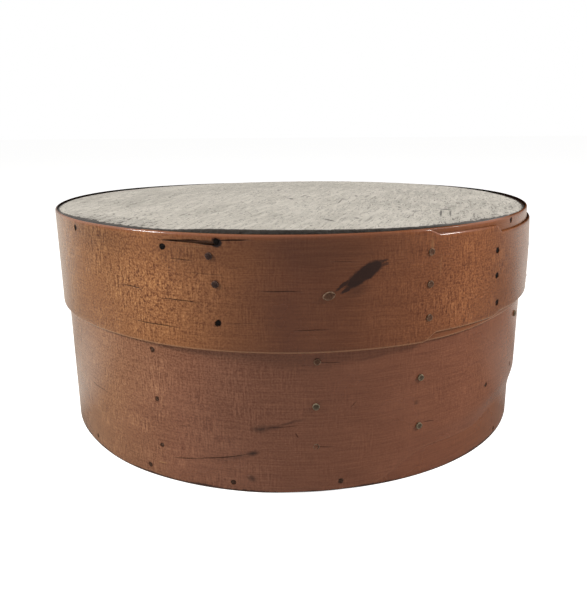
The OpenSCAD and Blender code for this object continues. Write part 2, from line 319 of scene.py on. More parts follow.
# Dark or pale marks on a strip or board: place along and up it, half length, half height, turn and
# strength. Each fades from its middle, and the sharper ones keep a firm outline.
def draw_marks(finish, where, marks, firm):
    total = 0.0
    for along, up, half_length, half_height, turn, strength in marks:
        spot = put(finish, "Mapping", {
            "Vector": where, "Location": (along, up, 0),
            "Rotation": (0, 0, math.radians(turn)),
            "Scale": (half_length, half_height, 1)}, vector_type="TEXTURE")
        fade = put(finish, "TexGradient", {"Vector": spot}, gradient_type="SPHERICAL")
        mark = put(finish, "MapRange", {
            "Value": fade.outputs["Fac"], "From Max": 1 / firm, "To Max": strength})
        total = put(finish, "Math", {0: mark, 1: total}, operation="MAXIMUM")
    return total


# Maple strip under old varnish. Growth streaks run along the strip and short ray flecks stand
# across them, strongest where it is figured, with curly speckled patches, dark checks, stains and
# pale scrapes. Its handled edges are worn and polished, and grime and painted shade darken the
# inside of its upper edge and that edge toward the back.
def varnished_maple(name, tones_and_painted_light, marks, wear):
    finish = bare_finish(name)
    strip = put(finish, "Attribute", attribute_name="strip").outputs["Vector"]
    from_top, from_foot, depth = (
        put(finish, "Attribute", attribute_name=kept).outputs["Fac"]
        for kept in ("from_top", "from_foot", "depth"))
    # The grain wanders by about a millimetre over a hand's width, and the outlines of marks fray.
    drift = put(finish, "TexNoise", {"Vector": strip, "Scale": 0.05, "Detail": 2})
    drift = put(finish, "VectorMath", {
        0: drift.outputs["Color"], 1: (2.2, 2.2, 0), 2: (-1.1, -1.1, 0)}, operation="MULTIPLY_ADD")
    wandering = put(finish, "VectorMath", {0: strip, 1: drift})
    fray = put(finish, "TexNoise", {"Vector": strip, "Scale": 0.5, "Detail": 3})
    fray = put(finish, "VectorMath", {
        0: fray.outputs["Color"], 1: (2.4, 1.2, 0), 2: (-1.2, -0.6, 0)}, operation="MULTIPLY_ADD")
    frayed = put(finish, "VectorMath", {0: wandering, 1: fray})
    # Tones change slowly round the box, from its back over its left side to its front and on, and
    # in soft clouds a hand's width across. Part of this is painted light: the tones run lighter on
    # the left side where the lamp falls, darker at the front, and greyer at the left edge as a
    # painted sheen.
    clouds = put(finish, "TexNoise", {"Vector": strip, "Scale": 0.022, "Detail": 4})
    along = put(finish, "SeparateXYZ", {0: strip})
    band_radius = 127
    cloud_shift = 40
    half_round = math.pi * band_radius
    wrapped = put(finish, "Math", {0: along, 1: half_round, 2: -half_round}, operation="WRAP")
    shift = put(finish, "Math", {0: clouds, 1: cloud_shift, 2: wrapped}, operation="MULTIPLY_ADD")
    share = put(finish, "MapRange", {
        "Value": shift, "From Min": cloud_shift / 2 - half_round,
        "From Max": cloud_shift / 2 + half_round})
    tone = put(finish, "ValToRGB", {0: share}, stops=tones_and_painted_light)
    # Growth streaks 90 mm long and 1.6 mm high, and fine lines 16 mm long and 0.4 mm high.
    streak_place = put(finish, "Mapping", {"Vector": wandering, "Scale": (0.011, 0.6, 1)})
    streaks = put(finish, "TexNoise", {
        "Vector": streak_place, "Scale": 1, "Detail": 5, "Roughness": 0.6})
    line_place = put(finish, "Mapping", {"Vector": wandering, "Scale": (0.06, 2.2, 1)})
    lines = put(finish, "TexNoise", {"Vector": line_place, "Scale": 1, "Detail": 2})
    lines = put(finish, "MapRange", {
        "Value": lines, "From Min": 0.36, "From Max": 0.64, "To Min": -0.1, "To Max": 0.1})
    # Ray flecks under a millimetre wide and 7 mm high, which come and go, and a fine tooth of
    # fibres.
    fleck_place = put(finish, "Mapping", {"Vector": wandering, "Scale": (1.4, 0.15, 1)})
    flecks = put(finish, "TexNoise", {
        "Vector": fleck_place, "Scale": 1, "Detail": 2, "Roughness": 0.6, "Distortion": 0.15})
    flecks = put(finish, "MapRange", {
        "Value": flecks, "From Min": 0.36, "From Max": 0.64, "To Min": -0.36, "To Max": 0.54})
    fleck_area = put(finish, "TexNoise", {"Vector": strip, "Scale": 0.07, "Detail": 2})
    fleck_area = put(finish, "MapRange", {
        "Value": fleck_area, "From Min": 0.4, "From Max": 0.6, "To Min": 0.1, "To Max": 1.1})
    flecks = put(finish, "Math", {0: flecks, 1: fleck_area}, operation="MULTIPLY")
    tooth = put(finish, "TexNoise", {"Vector": strip, "Scale": 1.1, "Detail": 1})
    tooth = put(finish, "MapRange", {
        "Value": tooth, "From Min": 0.36, "From Max": 0.64, "To Min": -0.28, "To Max": 0.32})
    fine = put(finish, "Math", {0: flecks, 1: tooth})
    figured = put(finish, "Math", {0: draw_marks(finish, strip, marks["figures"], 1.5), 1: 0.18})
    # Curly speckle of about a millimetre in its own patches.
    curl = put(finish, "TexNoise", {
        "Vector": strip, "Scale": 0.9, "Detail": 1.5, "Distortion": 1})
    curl = put(finish, "MapRange", {
        "Value": curl, "From Min": 0.36, "From Max": 0.64, "To Min": -0.38, "To Max": 0.62})
    curled = draw_marks(finish, strip, marks["curls"], 1.2)
    cast = put(finish, "TexNoise", {"Vector": strip, "Scale": 0.04, "Detail": 3})
    relief = 0.68
    for part, amount in ((streaks, 0.35), (cast, 0.3), (fine, figured), (curl, curled)):
        relief = put(finish, "Math", {0: part, 1: amount, 2: relief}, operation="MULTIPLY_ADD")
    relief = put(finish, "Math", {0: relief, 1: lines})
    # Light places turn golden and dark ones red, as under a yellowed varnish.
    golden = put(finish, "Math", {0: relief, 1: 1.25}, operation="POWER")
    tint = put(finish, "CombineXYZ", {0: relief, 1: golden, 2: golden})
    grained = put(finish, "VectorMath", {0: tone, 1: tint}, operation="MULTIPLY")
    # Checks are open cracks along the grain, stains and smears iron and water marks in the varnish,
    # but the long stain along the box's foot is painted shade, and the broad smears high on the lid
    # only darken its upper part.
    crack = draw_marks(finish, wandering, marks["checks"], 2.5)
    stain_and_shade = draw_marks(finish, frayed, marks["stains_and_shade"], 4)
    smear = draw_marks(finish, frayed, marks["smears"], 1.2)
    scrape = draw_marks(finish, strip, marks["scrapes"], 2)
    # Handling has worn and polished the upper edge most, left of the front and at the shoulder on
    # the right, with the strip's first round behind it, and the lower edge a little.
    rub = put(finish, "TexNoise", {"Vector": strip, "Scale": 0.12, "Detail": 4})
    rub = put(finish, "MapRange", {
        "Value": rub, "From Min": 0.3, "From Max": 0.6, "To Min": 0.9, "To Max": 2.2})
    worn = put(finish, "MapRange", {
        "Value": from_top, "From Min": 0.2, "From Max": rub, "To Min": 1, "To Max": 0})
    scuffed = put(finish, "MapRange", {
        "Value": from_foot, "From Min": 0.4, "From Max": 1, "To Min": 0.5 * wear, "To Max": 0})
    from_front = put(finish, "Math", {0: wrapped}, operation="ABSOLUTE")
    held = draw_marks(finish, strip, [
        (-55, 100, 130, 900, 0, wear), (70, 100, 30, 900, 0, wear),
        (-712, 100, 24, 900, 0, wear)], 1.3)
    handled = put(finish, "Math", {0: worn, 1: held}, operation="MULTIPLY")
    # Grime and painted shade: the inner face below the upper edge is darkened, and so is the upper
    # edge toward the back of the round.
    inside = put(finish, "MapRange", {
        "Value": depth, "From Min": 0.15, "From Max": 0.45, "To Min": 1, "To Max": 0})
    toward_back = put(finish, "MapRange", {
        "Value": from_front, "From Min": 125, "From Max": 165, "To Max": 0.65})
    grime_and_shade = put(finish, "Math", {0: inside, 1: toward_back}, operation="MAXIMUM")
    near_top = put(finish, "MapRange", {
        "Value": from_top, "From Min": 1.2, "From Max": 2.2, "To Min": 1, "To Max": 0})
    grime_and_shade = put(finish, "Math", {0: near_top, 1: grime_and_shade}, operation="MULTIPLY")
    colour = grained
    for cover, shade in (
            (scrape, "#B98A5C"), (smear, "#2E1D18"), (stain_and_shade, "#312A29"), (crack, "#160B07"),
            (handled, "#8E4918"), (scuffed, "#C79C76"), (grime_and_shade, "#1C130F")):
        colour = put(finish, "MixRGB", {"Fac": cover, "Color1": colour, "Color2": linear(shade)})
    gloss = put(finish, "MapRange", {"Value": clouds, "To Min": 0.16, "To Max": 0.36})
    dark = put(finish, "Math", {0: crack, 1: stain_and_shade}, operation="MAXIMUM")
    dark = put(finish, "Math", {0: dark, 1: grime_and_shade}, operation="MAXIMUM")
    dull = put(finish, "Math", {0: dark, 1: worn}, operation="MAXIMUM")
    shine = put(finish, "MapRange", {"Value": dull, "To Min": 0.5, "To Max": 0})
    height = put(finish, "Math", {0: crack, 1: -2.5, 2: relief}, operation="MULTIPLY_ADD")
    bump = put(finish, "Bump", {"Height": height, "Strength": 0.4, "Distance": 0.1 * MM})
    wood = put(finish, "BsdfPrincipled", {
        "Base Color": colour, "Roughness": gloss, "Normal": bump, "IOR": 1.48,
        "Specular IOR Level": shine, "Coat Weight": handled, "Coat Roughness": 0.14,
        "Coat IOR": 1.6})
    put(finish, "OutputMaterial", {"Surface": wood})
    return finish


side_marks = {
    "checks": [
        (-104, 33.1, 12.5, 0.25, -2, 0.6), (-47.9, 12.6, 8, 0.3, 7, 0.75),
        (-31.5, 15.4, 16, 0.3, 11, 0.75), (-3.5, 31.5, 7.6, 0.3, 5, 0.5),
        (2.1, 27.5, 1.6, 0.4, -62, 0.6), (15.2, 59.8, 6, 0.3, -3, 0.5),
        (13.1, 21.7, 5, 0.25, -4, 0.6), (25.8, 40.6, 2.3, 0.3, 44, 0.4),
        (62.8, 26.2, 3.8, 0.3, -6, 0.6), (-71.2, 24.9, 6, 0.25, 0, 0.3),
        (-47.4, 27.6, 5.3, 0.25, 7, 0.35)],
    # The long dark band along the foot is painted shade where the box meets the floor.
    "stains_and_shade": [(-250, 0, 900, 1.3, 0, 0.8)],
    "smears": [
        (-17, 18.4, 3.6, 1.7, 13, 0.85), (-13.6, 30.2, 5.5, 2.3, 8, 0.7),
        (-9, 31, 7, 1.5, 10, 0.55), (-17.3, 7, 2.8, 2.2, -30, 0.65), (-1, 33.4, 9, 0.8, 14, 0.5),
        (-24, 16.4, 10, 1.4, 13, 0.3), (55.1, 36.5, 2, 1.4, 0, 0.5), (33, 60.4, 9, 1, 3, 0.3)],
    "scrapes": [(-60.5, 7.5, 3.4, 0.3, 4, 0.6)],
    "figures": [(-95, 50, 110, 90, 0, 0.55), (110, 50, 60, 80, 0, 0.2)],
    "curls": [(-75, 40, 60, 34, 0, 0.3), (90, 45, 50, 30, 0, 0.2)],
}
# Tones round the box's side, partly painted light: lighter on the left side, darker at the front,
# greyer at the left edge as painted sheen.
side_tones_and_painted_light = [
    (0, "#7A4C34"), (0.3, "#866650"), (0.38, "#8E6244"), (0.44, "#895942"), (0.47, "#82543F"),
    (0.53, "#81503A"), (0.6, "#804D36"), (0.66, "#7A4527"), (0.75, "#754529"), (1, "#7A4C34")]
side_wear = 0.12
side.data.materials.append(
    varnished_maple("varnished_maple_box", side_tones_and_painted_light, side_marks, side_wear))
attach(side, "box")
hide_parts("body_band")


# Bottom board
# A round board of softwood, sawn and planed, pressed into the foot of the box's band and nailed
# through it all round. It is bare wood that has browned indoors.
facets = 288
level_face = 0.99


# Leaves a piece in edit mode with only those faces selected that the test picks.
def pick_faces(piece, wanted):
    bpy.ops.object.mode_set(mode="EDIT")
    bpy.ops.mesh.select_mode(type="FACE")
    bpy.ops.mesh.select_all(action="DESELECT")
    bpy.ops.object.mode_set(mode="OBJECT")
    for face in piece.data.polygons:
        face.select = wanted(face)
    bpy.ops.object.mode_set(mode="EDIT")


# Turns a board with its edges rubbed round, and rings of points on both faces to shape them by.
def round_board(name, radius, low, thick, rings, worn):
    bpy.ops.object.select_all(action="DESELECT")
    bpy.ops.mesh.primitive_cylinder_add(
        vertices=facets, radius=radius * MM, depth=thick * MM,
        location=(0, 0, (low + thick / 2) * MM))
    board = bpy.context.object
    board.name = name
    bpy.ops.object.transform_apply()
    bpy.ops.object.mode_set(mode="EDIT")
    bpy.ops.mesh.select_mode(type="EDGE")
    bpy.ops.mesh.select_all(action="DESELECT")
    bpy.ops.mesh.edges_select_sharp(sharpness=math.radians(60))
    bpy.ops.mesh.bevel(offset=worn * MM, segments=3, affect="EDGES")
    for up in (1, -1):
        pick_faces(board, lambda face: face.normal.z * up > level_face and len(face.vertices) > 4)
        for ring in range(rings):
            bpy.ops.mesh.inset(thickness=(radius - worn) / (rings + 1) * MM)
    bpy.ops.object.mode_set(mode="OBJECT")
    return board


# Weathered softwood. Sun and scrubbing have silvered it and raised its grain, and dirt lies in the
# hollows, in small dents, in broad soiled places and round the edge. The broad soiled places are
# partly painted shade, which darkens the board toward its right side.
def weathered_pine(name, grain, shades, radius, dents, soiled_and_shaded):
    finish = bare_finish(name)
    place = put(finish, "TexCoord").outputs["Object"]
    flat = put(finish, "VectorMath", {0: place, 1: (1000, 1000, 0)}, operation="MULTIPLY")
    place = put(finish, "Mapping", {
        "Vector": place, "Rotation": (0, 0, math.radians(-grain)), "Scale": (1000, 1000, 1000)})
    # Raised grain: ridges 20 mm long and 3 mm apart, strongest where the board is soiled and
    # shaded, and short dimples between them.
    soil_and_shade = draw_marks(finish, flat, soiled_and_shaded, 1)
    ridge_place = put(finish, "Mapping", {"Vector": place, "Scale": (0.05, 0.36, 0.3)})
    ridges = put(finish, "TexNoise", {
        "Vector": ridge_place, "Scale": 1, "Detail": 4, "Roughness": 0.6, "Distortion": 0.3})
    dimple_place = put(finish, "Mapping", {"Vector": place, "Scale": (0.2, 0.36, 0.3)})
    dimples = put(finish, "TexNoise", {
        "Vector": dimple_place, "Scale": 1, "Detail": 3, "Roughness": 0.65})
    patches = put(finish, "TexNoise", {"Vector": place, "Scale": 0.03, "Detail": 3})
    raised = put(finish, "Math", {0: soil_and_shade, 1: 1.5, 2: 0.7}, operation="MULTIPLY_ADD")
    crests = put(finish, "Math", {0: ridges, 1: 0.5}, operation="SUBTRACT")
    mixed = -0.2
    for part, amount in ((crests, raised), (patches, 0.7), (dimples, 0.7)):
        mixed = put(finish, "Math", {0: part, 1: amount, 2: mixed}, operation="MULTIPLY_ADD")
    tone = put(finish, "ValToRGB", {0: mixed}, stops=shades)
    # Soiled places turn grey, as dirt and painted shade.
    tint = put(finish, "Math", {0: soil_and_shade, 1: 0.5}, operation="MULTIPLY")
    tone = put(finish, "MixRGB", {"Fac": tint, "Color1": tone, "Color2": linear("#5E5850")})
    # Dirt lies in open grain, in thin cracks between the ridges, in specks 2 mm long and in
    # scratches.
    grooves = put(finish, "MapRange", {
        "Value": ridges, "From Min": 0.38, "From Max": 0.34, "To Max": 0.4})
    grooves = put(finish, "Math", {0: grooves, 1: raised}, operation="MULTIPLY")
    cracks = put(finish, "Math", {0: ridges, 1: 0.5, 2: 0.03}, operation="COMPARE")
    cracked = put(finish, "MapRange", {
        "Value": dimples, "From Min": 0.48, "From Max": 0.56, "To Max": 0.6})
    cracks = put(finish, "Math", {0: cracks, 1: cracked}, operation="MULTIPLY")
    cracks = put(finish, "Math", {0: cracks, 1: raised}, operation="MULTIPLY")
    grooves = put(finish, "Math", {0: grooves, 1: cracks}, operation="MAXIMUM")
    speck_place = put(finish, "Mapping", {"Vector": place, "Scale": (0.5, 0.6, 0.5)})
    specks = put(finish, "TexNoise", {"Vector": speck_place, "Scale": 1, "Detail": 2})
    specks = put(finish, "Math", {0: soil_and_shade, 1: 0.05, 2: specks}, operation="MULTIPLY_ADD")
    specks = put(finish, "MapRange", {
        "Value": specks, "From Min": 0.66, "From Max": 0.685, "To Max": 0.85})
    cut_place = put(finish, "Mapping", {"Vector": flat, "Scale": (0.13, 0.3, 1)})
    cuts = put(finish, "TexNoise", {"Vector": cut_place, "Scale": 1, "Detail": 5, "Roughness": 0.7})
    cuts = put(finish, "MapRange", {
        "Value": cuts, "From Min": 0.64, "From Max": 0.67, "To Max": 0.55})
    dent = draw_marks(finish, flat, dents, 1.8)
    # The edge is black with age, with a ragged inner border.
    away = put(finish, "VectorMath", {0: flat}, operation="LENGTH").outputs["Value"]
    reach = put(finish, "Math", {0: soil_and_shade, 1: 9, 2: 2}, operation="MULTIPLY_ADD")
    ragged = put(finish, "Math", {0: dimples, 1: reach, 2: away}, operation="MULTIPLY_ADD")
    rim = put(finish, "MapRange", {
        "Value": ragged, "From Min": radius + 0.1, "From Max": radius + 0.5, "To Max": 0.97})
    dirt = specks
    for more in (dent, grooves, cuts, rim):
        dirt = put(finish, "Math", {0: dirt, 1: more}, operation="MAXIMUM")
    colour = put(finish, "MixRGB", {
        "Fac": dirt, "Color1": tone, "Color2": linear("#2A221B")})
    height = put(finish, "Math", {0: dimples, 1: 0.6, 2: ridges}, operation="MULTIPLY_ADD")
    height = put(finish, "Math", {0: specks, 1: -0.5, 2: height}, operation="MULTIPLY_ADD")
    bump = put(finish, "Bump", {"Height": height, "Strength": 1, "Distance": 0.9 * MM})
    wood = put(finish, "BsdfPrincipled", {
        "Base Color": colour, "Roughness": 0.8, "Normal": bump})
    put(finish, "OutputMaterial", {"Surface": wood})
    return finish


bottom_radius = 123.15
bottom_thick = 8.8
bottom_grain = 40
board_worn = 0.5
bottom = round_board("box_bottom", bottom_radius, 0, bottom_thick, 24, board_worn)
bottom.data.materials.append(weathered_pine(
    "scrubbed_pine_bottom", bottom_grain,
    [(0, "#8F7B63"), (0.5, "#A8947A"), (1, "#BBA98E")], bottom_radius, [], []))
bpy.ops.object.shade_smooth_by_angle(angle=smooth_angle)
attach(bottom, "box")
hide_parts("bottom_board")


# Bottom nails
# Small cut nails with square heads, driven through the band into the edge of the bottom board and
# sunk just below the surface. They are iron, brown with rust.
def sunk_nail(side, bite, finish):
    head_high, head_worn = 0.4, 0.12
    head_edge = 0.28 * side
    point_long, point_share = 1, 0.3
    bpy.ops.object.select_all(action="DESELECT")
    bpy.ops.mesh.primitive_cube_add(size=1)
    nail = bpy.context.object
    nail.data.transform(Matrix.Diagonal((side * MM, side * MM, head_high * MM, 1)))
    bpy.ops.object.mode_set(mode="EDIT")
    bpy.ops.mesh.select_mode(type="FACE")
    bpy.ops.mesh.bevel(offset=head_worn * MM, segments=2, affect="EDGES")
    pick_faces(nail, lambda face: face.normal.z < -level_face)
    bpy.ops.mesh.inset(thickness=head_edge * MM)
    bpy.ops.mesh.extrude_region_move(
        TRANSFORM_OT_translate={"value": (0, 0, -(bite - point_long) * MM)})
    bpy.ops.mesh.extrude_region_move(
        TRANSFORM_OT_translate={"value": (0, 0, -point_long * MM)})
    bpy.ops.transform.resize(value=(point_share, point_share, 1))
    bpy.ops.object.mode_set(mode="OBJECT")
    nail.data.materials.append(finish)
    return nail


# Sets copies of one nail or tack into a band: angle, radius and height of each head, and its roll.
def drive(name, settings):
    copies = []
    for pattern, angle, radius, height, roll in settings:
        copy = pattern.copy()
        copy.data = pattern.data.copy()
        bpy.context.scene.collection.objects.link(copy)
        upright = Matrix(((1, 0, 0, 0), (0, 0, -1, 0), (0, 1, 0, 0), (0, 0, 0, 1)))
        spin = Matrix.Rotation(math.radians(angle), 4, "Z")
        out = Matrix.Translation((0, 0, radius * MM))
        lift = Matrix.Translation((0, 0, height * MM))
        turn = Matrix.Rotation(math.radians(roll), 4, "Z")
        copy.data.transform(lift @ spin @ upright @ out @ turn)
        copies.append(copy)
    pick(*copies)
    bpy.ops.object.join()
    row = bpy.context.object
    row.name = name
    head_angle = math.radians(35)
    bpy.ops.object.shade_smooth_by_angle(angle=head_angle)
    return row


# Iron under age and old varnish. The crust is mottled, and the raised rim of a head is paler,
# partly rubbed and partly a painted highlight.
def aged_iron(name, shades, rubbed_and_highlight_shade, metal, gloss):
    finish = bare_finish(name)
    place = put(finish, "TexCoord").outputs["Object"]
    crust = put(finish, "TexNoise", {"Vector": place, "Scale": 1500, "Detail": 3})
    shade = put(finish, "ValToRGB", {0: crust}, stops=shades)
    rubbed_and_highlight = put(finish, "Attribute", attribute_name="rim").outputs["Fac"]
    broken = put(finish, "MapRange", {"Value": crust, "From Min": 0.35, "From Max": 0.6})
    rubbed_and_highlight = put(finish, "Math", {0: rubbed_and_highlight, 1: broken}, operation="MULTIPLY")
    shade = put(finish, "MixRGB", {
        "Fac": rubbed_and_highlight, "Color1": shade, "Color2": linear(rubbed_and_highlight_shade)})
    pitted = put(finish, "Bump", {"Height": crust, "Strength": 0.4, "Distance": 0.15 * MM})
    iron = put(finish, "BsdfPrincipled", {
        "Base Color": shade, "Metallic": metal, "Roughness": gloss, "Normal": pitted,
        "Specular IOR Level": 0.06})
    put(finish, "OutputMaterial", {"Surface": iron})
    return finish


rusted_iron = aged_iron(
    "rusted_iron", [(0.3, "#34241B"), (0.5, "#4A3429"), (0.7, "#664E40")], "#664E40", 0, 0.6)
head_sink = 0.35
head_roll = 12
nail_bite = 14
nail = sunk_nail(2, nail_bite, rusted_iron)
nail_places = []
for angle, height in bottom_nails:
    turn = nail_turn(angle, box_single_from)
    radius = inner_face(box_band, turn, height) + layer(box_band, turn)
    roll = chance.uniform(-head_roll, head_roll)
    nail_places.append((nail, angle, radius - head_sink, height, roll))
nails = drive("bottom_board_nails", nail_places)
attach(nails, "box")
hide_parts("bottom_nails")


# Tacks of the box's lap
# Soft iron tacks. Some have round hammered heads that lie on the wood and others square heads sunk
# in it, and every point is bent over upward inside the box.
def hammered_tack(head, high, dish, through, bent, finish):
    bpy.ops.object.select_all(action="DESELECT")
    bpy.ops.mesh.primitive_cylinder_add(
        vertices=20, radius=head / 2 * MM, depth=high * MM, location=(0, 0, high / 2 * MM))
    tack = bpy.context.object
    bpy.ops.object.transform_apply()
    head_worn, shank_radius = 0.22, 0.5
    uneven_wide, uneven_high = 0.05, 0.04
    pick_faces(tack, lambda face: face.normal.z > level_face)
    bpy.ops.mesh.bevel(offset=head_worn * MM, segments=2, affect="EDGES")
    pick_faces(tack, lambda face: face.normal.z > level_face and len(face.vertices) > 4)
    for ring, sunk in ((0.2, 0), (0.3, dish), (0.4, 0.4 * dish)):
        bpy.ops.mesh.inset(thickness=ring * MM, depth=-sunk * MM)
    bpy.ops.object.mode_set(mode="OBJECT")
    for vertex in tack.data.vertices:
        if vertex.co.z > 0.1 * MM:
            vertex.co.x *= 1 + uneven_wide * math.sin(3 * vertex.co.y / MM + 1)
            dented = math.sin(2.1 * vertex.co.x / MM + 1.3 * vertex.co.y / MM)
            vertex.co.z += uneven_high * MM * dented
    pick_faces(tack, lambda face: face.normal.z < -level_face)
    bpy.ops.mesh.inset(thickness=(head / 2 - shank_radius) * MM)
    bpy.ops.mesh.extrude_region_move(
        TRANSFORM_OT_translate={"value": (0, 0, -through * MM)})
    if bent:
        bpy.ops.mesh.extrude_region_move(
            TRANSFORM_OT_translate={"value": (0, 0.3 * MM, -0.6 * MM)})
        bpy.ops.transform.resize(value=(0.85, 0.85, 1))
        bpy.ops.mesh.extrude_region_move(
            TRANSFORM_OT_translate={"value": (0, 1.2 * MM, 0.1 * MM)})
        bpy.ops.transform.rotate(
            value=math.radians(70), orient_axis="X",
            center_override=(0, 1.5 * MM, -(through + 0.5) * MM))
        bpy.ops.mesh.extrude_region_move(
            TRANSFORM_OT_translate={"value": (0, 1.1 * MM, 0.2 * MM)})
        bpy.ops.transform.resize(value=(0.4, 0.4, 0.4))
    bpy.ops.object.mode_set(mode="OBJECT")
    rim = tack.data.attributes.new("rim", "FLOAT", "POINT")
    for vertex, value in zip(tack.data.vertices, rim.data):
        from_middle = vertex.co.xy.length / (head / 2 * MM)
        value.value = from_middle > 0.8 and vertex.co.z > 0.3 * high * MM
    tack.data.materials.append(finish)
    return tack


tarnished_iron = aged_iron(
    "tarnished_iron", [(0.3, "#4F4439"), (0.5, "#615446"), (0.7, "#706354")], "#A09278", 0.3, 0.42)
dull_iron = aged_iron(
    "dull_iron", [(0.3, "#4E382C"), (0.5, "#604536"), (0.7, "#6F5040")], "#937A64", 0.1, 0.5)

lap_deep = 2 * box_band["thick"] + lap_gap
round_tack = hammered_tack(3.0, 0.8, 0.12, lap_deep, True, tarnished_iron)
dull_tack = hammered_tack(2.9, 0.5, 0.08, lap_deep, True, dull_iron)
tack_bite = 1.9
point_from = 0.9
flush_press = 0.47
sunk_tack = sunk_nail(2, tack_bite, rusted_iron)
sunk_point = hammered_tack(1.2, 0.3, 0.02, lap_deep - point_from, True, rusted_iron)
for number, tacks in enumerate(box_tacks, 1):
    places = []
    for angle, height, head in tacks:
        turn = angle + 360
        radius = inner_face(box_band, turn, height) + box_band["thick"]
        if head != "sunk":
            pattern = round_tack if head == "round" else dull_tack
            pressed_in = flush_press if head == "flush" else 0
            places.append((pattern, angle, radius - pressed_in, height, 0))
        else:
            roll = chance.uniform(-head_roll, head_roll)
            places.append((sunk_tack, angle, radius - head_sink, height, roll))
            places.append((sunk_point, angle, radius - point_from, height, 0))
    tacks = drive("box_tacks_%d" % number, places)
    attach(tacks, "box")
    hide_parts("body_lap_tacks_%d" % number)


# Lid's band
# The rim of the lid is a second maple strip, bent round the first with just enough room to slide.
# It has split along the grain at one of the nails, and its top edge is rubbed round by hands.
lid_band = {
    "inner": 125.9, "thick": 1.1, "low": 64.6, "tall": 48.0, "lap": 128.25,
    "lap_from": -17, "lap_to": 94,
    "top_cuts": [(25.2, 8, 2.4), (44.4, 6, 3.2), (88.6, 12, 5)],
    "low_cuts": [(25.2, 8, 3.6), (44.8, 8, 1.5), (88.6, 12, 5)],
    "spring": 0.5, "hollow": 3.2, "feather": 0, "flare": 1, "flare_from": 0, "flare_up": 0.45,
}
lid_tacks = [
    [(-14.5, 104, "round"), (-13.5, 92.7, "round"), (-13.2, 76.8, "sunk")],
    [(26.3, 103.2, "round"), (26.4, 89.8, "round"), (26.5, 75.4, "round")],
    [(45.1, 98.9, "sunk"), (45.4, 87.4, "sunk"), (46.2, 74.4, "sunk")],
    [(67.7, 94.1, "round"), (70, 76.4, "round")],
    [(90, 98.2, "sunk"), (90, 87.2, "sunk"), (90, 76.6, "sunk")],
]
lid_nails = [(-50, 109), (-23.7, 106.5), (-13.1, 109.8), (52, 110.5), (80, 109.4)]
lid_nails += [(106 + 26 * n, 107.4) for n in range(8)]
lid_pit = 2.7
lid_single_from = 23

split_from, split_to = 335.5, 347.0
split_middle, split_wide = 44.7, 1.7
lower_lip, upper_lip = 16, 17
turns = strip_turns(lid_band, [(334, 350), (384, 391), (403, 411), (446, 454)])
rows = np.concatenate([np.linspace(0, 0.9, 16), [0.925, 0.936, 0.96, 1]])
rim, column, row = flat_strip("lid_rim", lid_band, turns, rows)

# The split opens toward the nail: its two lips are the two rows of points round it.
for vertex, c, r in zip(rim.data.vertices, column, row):
    opening = split_wide * max(0, (turns[c] - split_from) / (split_to - split_from))
    if turns[c] <= split_to and opening > 0:
        if r == lower_lip:
            vertex.co.y = (split_middle - opening / 2) * MM
        if r == upper_lip:
            vertex.co.y = (split_middle + opening / 2) * MM


def in_split(face):
    lips = {row[v] for v in face.vertices}
    spots = [turns[column[v]] for v in face.vertices]
    return lips == {lower_lip, upper_lip} and min(spots) >= split_from and max(spots) <= split_to


pick_faces(rim, in_split)
bpy.ops.mesh.delete(type="FACE")
bpy.ops.object.mode_set(mode="OBJECT")
rim_worn = 0.8
plane_strip(rim, lid_band, column, row, rim_worn)
sunk_spots = [(a, z) for tacks in lid_tacks for a, z, head in tacks if head == "sunk"]
pits = [(a + 360, z, lid_pit) for a, z in sunk_spots]
pits += [(nail_turn(a, lid_single_from), z, lid_pit) for a, z in lid_nails]
cut_pits(rim, lid_band, pits)
bend_strip(rim, lid_band)

# The upper edge has been planed down with the board toward the back of the lid.
planed = 2.6
planed_from, planed_over = 104, 8.6
for vertex in rim.data.vertices:
    back = max(0, vertex.co.y / MM / lid_band["inner"]) ** 2
    near_top = min(1, max(0, (vertex.co.z / MM - planed_from) / planed_over))
    vertex.co.z -= planed * back * near_top * MM

rim_marks = {
    "checks": [
        (-46.4, 85.1, 11, 0.28, -2, 0.75), (-71, 88.2, 7, 0.28, -3, 0.75),
        (-58.9, 73.4, 14, 0.28, -1, 0.8), (-44.6, 101.8, 6, 0.25, 0, 0.6),
        (-34.5, 97, 10, 0.2, -2, 0.5), (-3.8, 90.3, 10, 0.25, 0, 0.75),
        (-19.8, 77.2, 8.4, 0.2, 3, 0.4), (7.8, 74.2, 8.2, 0.25, 1, 0.65),
        # The checks at height 109 are near-black marks along both lips of the split, painted shade
        # in its open gap.
        (-22.2, 110.5, 7.5, 0.4, 2, 0.85), (-37, 109.3, 8.5, 0.9, -2, 1),
        (-33, 109.2, 6, 1.15, 0, 1), (-43, 109.3, 12, 0.5, 0, 1),
        (21, 101.7, 6.2, 0.2, -2, 0.45), (-20.3, 99.7, 4.5, 0.2, 2, 0.3)],
    "stains_and_shade": [
        (29, 96.6, 10.2, 3.4, 33, 0.88), (20, 92.6, 4, 0.9, 36, 0.8),
        (22.4, 91.2, 4, 0.9, 32, 0.8), (35.5, 101.3, 4.4, 0.8, 12, 0.7),
        (36.4, 99.9, 3.6, 0.7, 18, 0.6), (-29.2, 109.6, 2.6, 2.2, 0, 1)],
    "smears": [
        # The three broad smears near the top edge only darken the upper part of the lid.
        (26, 90, 7, 3.4, 20, 0.35), (-92, 108, 36, 9, -5, 0.24), (-42, 106, 32, 10, 0, 0.2),
        (18, 105, 45, 11, 0, 0.18)],
    "scrapes": [
        (59.2, 105.2, 0.9, 4.5, 0, 0.3), (64, 97, 0.6, 6, 0, 0.15), (-40, 107.6, 9, 0.35, -1, 0.3)],
    "figures": [(-95, 88, 95, 60, 0, 0.8), (85, 88, 60, 50, 0, 0.6), (125, 88, 40, 50, 0, 0.5)],
    "curls": [(-59, 87, 44, 28, 0, 0.88), (80, 85, 34, 26, 0, 0.6)],
}
